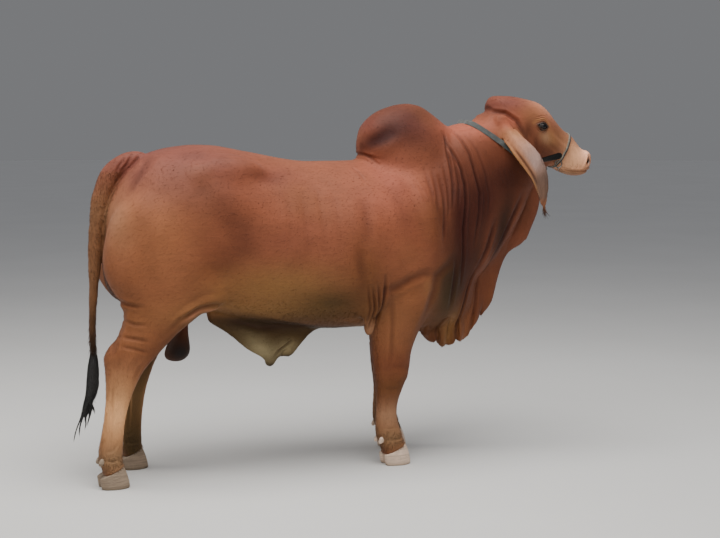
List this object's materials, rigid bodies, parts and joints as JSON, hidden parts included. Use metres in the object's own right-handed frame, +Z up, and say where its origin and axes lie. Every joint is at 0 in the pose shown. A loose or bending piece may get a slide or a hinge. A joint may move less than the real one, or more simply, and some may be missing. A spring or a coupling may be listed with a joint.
{
  "type": "brahman bull",
  "caption": "Standing red polled Brahman bull, life size, with hump, long dewlap, hanging ears, sheath, black tail switch and a plain halter.",
  "frame": {"origin": "centre of the box round the whole bull, at the level of its hoof soles", "axes": "+X towards the head, along the body; +Y towards the bull's left side; +Z up"},
  "size_m": [2.4832, 0.6781, 1.6601],
  "materials": {
    "hide": "short smooth red coat",
    "dark_skin": "dark bare skin",
    "hoof": "dull pale horn",
    "eye": "wet and glossy",
    "switch_hair": "coarse black hair",
    "halter_webbing": "woven grey strap",
    "halter_steel": "worn steel"
  },
  "bodies": {
    "root": {"barrel": "hide", "dewlap": "hide", "ear_left": "hide", "ear_right": "hide", "eye_left": "eye", "eye_right": "eye", "forefoot_left_claw_inner": "hoof", "forefoot_left_claw_outer": "hoof", "forefoot_left_dewclaw_inner": "hoof", "forefoot_left_dewclaw_outer": "hoof", "forefoot_right_claw_inner": "hoof", "forefoot_right_claw_outer": "hoof", "forefoot_right_dewclaw_inner": "hoof", "forefoot_right_dewclaw_outer": "hoof", "foreleg_lower_left": "hide", "foreleg_lower_right": "hide", "foreleg_upper_left": "hide", "foreleg_upper_right": "hide", "forequarters": "hide", "halter_headstall": "halter_webbing", "halter_jaw_strap_left": "halter_webbing", "halter_jaw_strap_right": "halter_webbing", "halter_noseband": "halter_webbing", "halter_ring_left": "halter_steel", "halter_ring_right": "halter_steel", "head": "hide", "hindfoot_left_claw_inner": "hoof", "hindfoot_left_claw_outer": "hoof", "hindfoot_left_dewclaw_inner": "hoof", "hindfoot_left_dewclaw_outer": "hoof", "hindfoot_right_claw_inner": "hoof", "hindfoot_right_claw_outer": "hoof", "hindfoot_right_dewclaw_inner": "hoof", "hindfoot_right_dewclaw_outer": "hoof", "hindleg_lower_left": "hide", "hindleg_lower_right": "hide", "hindleg_upper_left": "hide", "hindleg_upper_right": "hide", "hindquarters": "hide", "hump": "hide", "neck": "hide", "scrotum": "dark_skin", "sheath": "hide", "tail_dock": "hide", "tail_lower": "hide", "tail_switch": "switch_hair", "tail_upper": "hide"}
  },
  "joints": []
}
